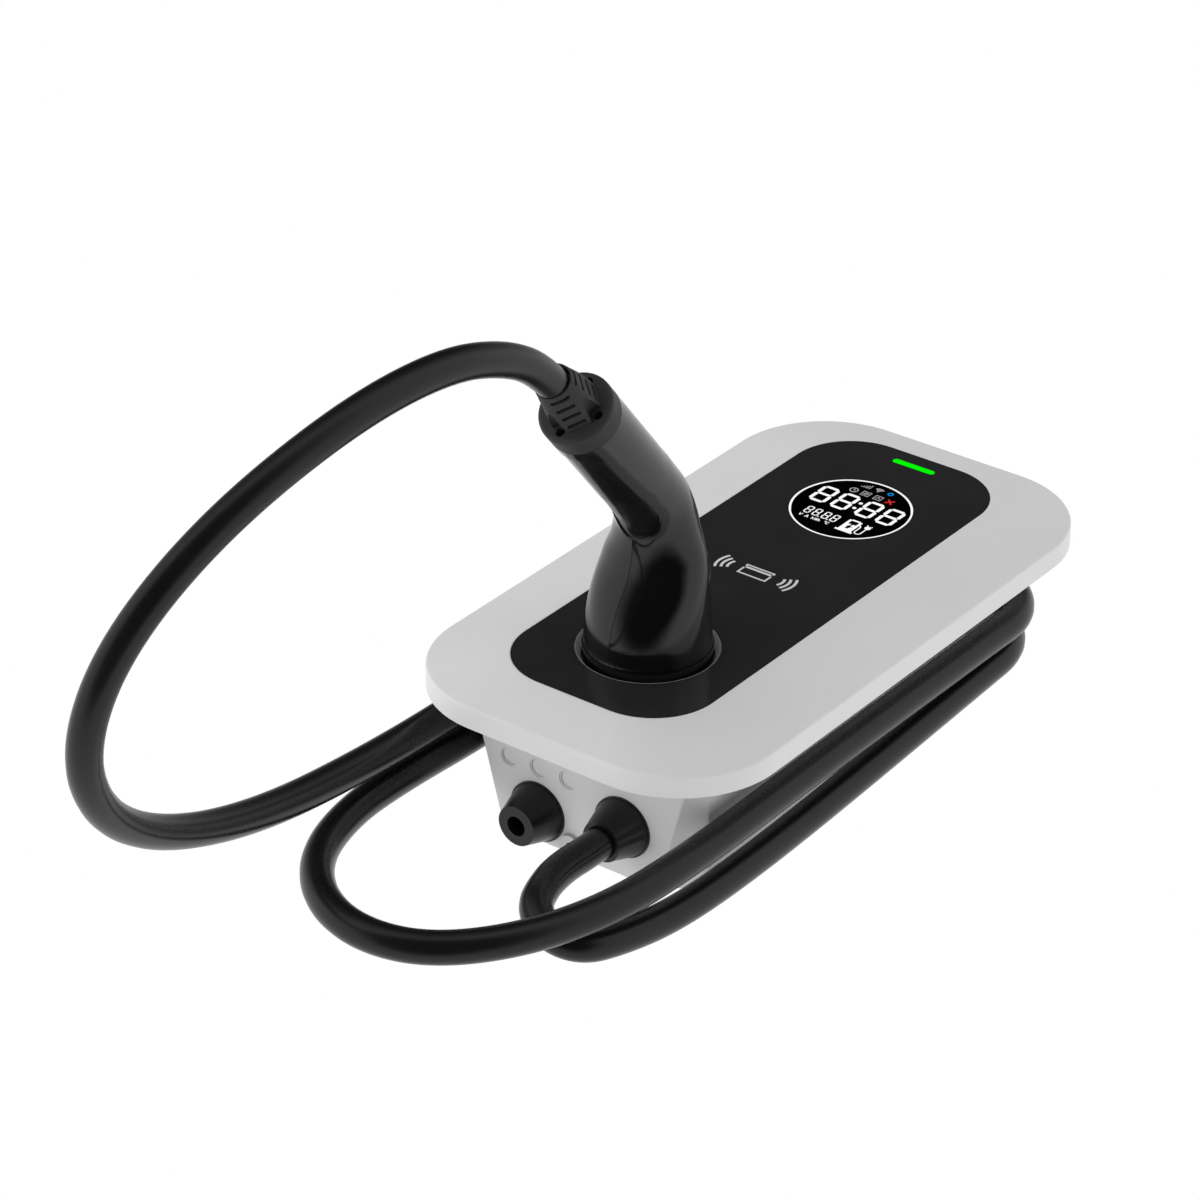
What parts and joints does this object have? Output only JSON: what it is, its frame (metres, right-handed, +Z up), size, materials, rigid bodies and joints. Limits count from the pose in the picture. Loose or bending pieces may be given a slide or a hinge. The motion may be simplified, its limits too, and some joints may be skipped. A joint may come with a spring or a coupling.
{
  "type": "ev wallbox",
  "caption": "Wall charging station for electric cars: pale rounded cover, dark panel with a round display, plug parked in the front and charging cord hung round the tapered housing.",
  "frame": {"origin": "centre of the wall bracket's four holes, on the wall plane", "axes": "+X right seen from the front, +Y into the wall, +Z up; the front faces -Y"},
  "size_m": [0.2, 0.3209, 0.6305],
  "materials": {
    "cover_plastic": "fine satin",
    "housing_plastic": "fine satin",
    "panel_plastic": "gloss",
    "window_plastic": "gloss",
    "ring_plastic": "satin",
    "light_plastic": "lit",
    "bezel_plastic": "satin",
    "gland_plastic": "semi-matt",
    "black_plastic": "satin",
    "plug_plastic": "gloss",
    "grip_rubber": "satin",
    "cord_rubber": "semi-matt",
    "gasket_rubber": "matt",
    "steel": "zinc plated",
    "board": "solder mask",
    "terminal_plastic": "moulded",
    "relay_plastic": "moulded",
    "core_iron": "laminated",
    "can": "drawn",
    "brass": "silvered"
  },
  "bodies": {
    "root": {"board_screws": "steel", "card_antenna": "board", "charging_cord": "cord_rubber", "collar_screws": "steel", "contact_carrier": "black_plastic", "contact_sleeves": "brass", "cover_gasket": "gasket_rubber", "cover_screws": "steel", "display_board": "board", "display_ring": "ring_plastic", "display_screws": "steel", "display_window": "window_plastic", "filter_capacitors": "can", "finger_grip": "grip_rubber", "front_cover": "cover_plastic", "front_panel": "panel_plastic", "gland_nuts": "gland_plastic", "handle_left": "plug_plastic", "handle_right": "plug_plastic", "leakage_sensor": "relay_plastic", "main_board": "board", "output_gland": "gland_plastic", "output_terminals": "terminal_plastic", "parking_socket": "black_plastic", "plug_nose": "plug_plastic", "power_relays": "relay_plastic", "rear_collar": "plug_plastic", "rear_housing": "housing_plastic", "socket_bezel": "bezel_plastic", "socket_screws": "steel", "status_light": "light_plastic", "strain_relief": "cord_rubber", "supply_gland": "gland_plastic", "supply_terminals": "terminal_plastic", "transformer": "core_iron", "wall_bracket": "steel", "wireless_module": "steel"}
  },
  "joints": []
}
